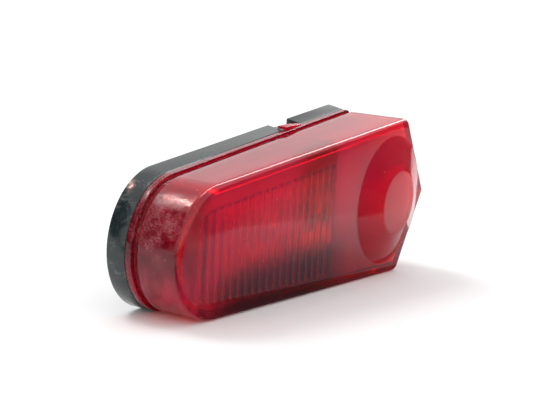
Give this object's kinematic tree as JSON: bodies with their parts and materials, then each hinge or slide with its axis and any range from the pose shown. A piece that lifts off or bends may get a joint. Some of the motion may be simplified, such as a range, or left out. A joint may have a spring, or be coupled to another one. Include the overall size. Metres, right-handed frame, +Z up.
{
  "type": "third brake light",
  "caption": "Long black base with a clear red fluted lens, rounded at one end and pointed at the other, over a festoon bulb.",
  "frame": {"origin": "centre of the mounting face, midway between the two mounting screws", "axes": "+X along the lamp towards its pointed end, -Y out through the lens, +Z up"},
  "size_m": [0.1602, 0.0504, 0.0624],
  "materials": {
    "base_black": "gloss, scuffed",
    "lens_red": "clear red acrylic",
    "foam": "matt foam",
    "rubber": "matt",
    "steel": "zinc plated",
    "tinplate": "bright tinplate",
    "bronze": "phosphor bronze",
    "brass": "plain",
    "cap_metal": "nickel plated",
    "fibre": "vulcanised fibre",
    "bulb_clear": "clear glass",
    "wire": "drawn wire"
  },
  "bodies": {
    "base": {"base_housing": "base_black", "back_gasket": "foam", "cable_grommet": "rubber", "mounting_screws": "steel", "screw_seals": "rubber", "lens_seal": "rubber", "bulb_plate": "tinplate", "plate_screws": "steel", "live_insulator": "fibre", "insulator_bush": "fibre", "live_rivet": "brass", "earth_rivet": "brass", "live_contact_foot": "bronze", "earth_contact_foot": "bronze", "terminal_live": "brass", "terminal_earth": "brass"},
    "lens": {"lens_cover": "lens_red"},
    "bulb": {"bulb_glass": "bulb_clear", "bulb_cap_live": "cap_metal", "bulb_cap_earth": "cap_metal", "bulb_filament": "wire", "bulb_supports": "wire"},
    "live_leaf": {"live_contact_leaf": "bronze"},
    "earth_leaf": {"earth_contact_leaf": "bronze"}
  },
  "joints": [
    {"name": "lens_lift", "type": "slide", "parent": "base", "child": "lens", "axis": [0, -1, 0], "range_m": [0, 0.045]},
    {"name": "bulb_turn", "type": "hinge", "parent": "base", "child": "bulb", "pos_m": [-0.006, -0.014, 0], "axis": [1, 0, 0], "continuous": true},
    {"name": "live_leaf_flex", "type": "hinge", "parent": "base", "child": "live_leaf", "pos_m": [0.01355, -0.007, 0], "axis": [0, 0, 1], "range_deg": [0, 8], "stiffness_Nm_per_rad": 0.05},
    {"name": "earth_leaf_flex", "type": "hinge", "parent": "base", "child": "earth_leaf", "pos_m": [-0.02555, -0.006, 0], "axis": [0, 0, -1], "range_deg": [0, 8], "stiffness_Nm_per_rad": 0.05}
  ]
}
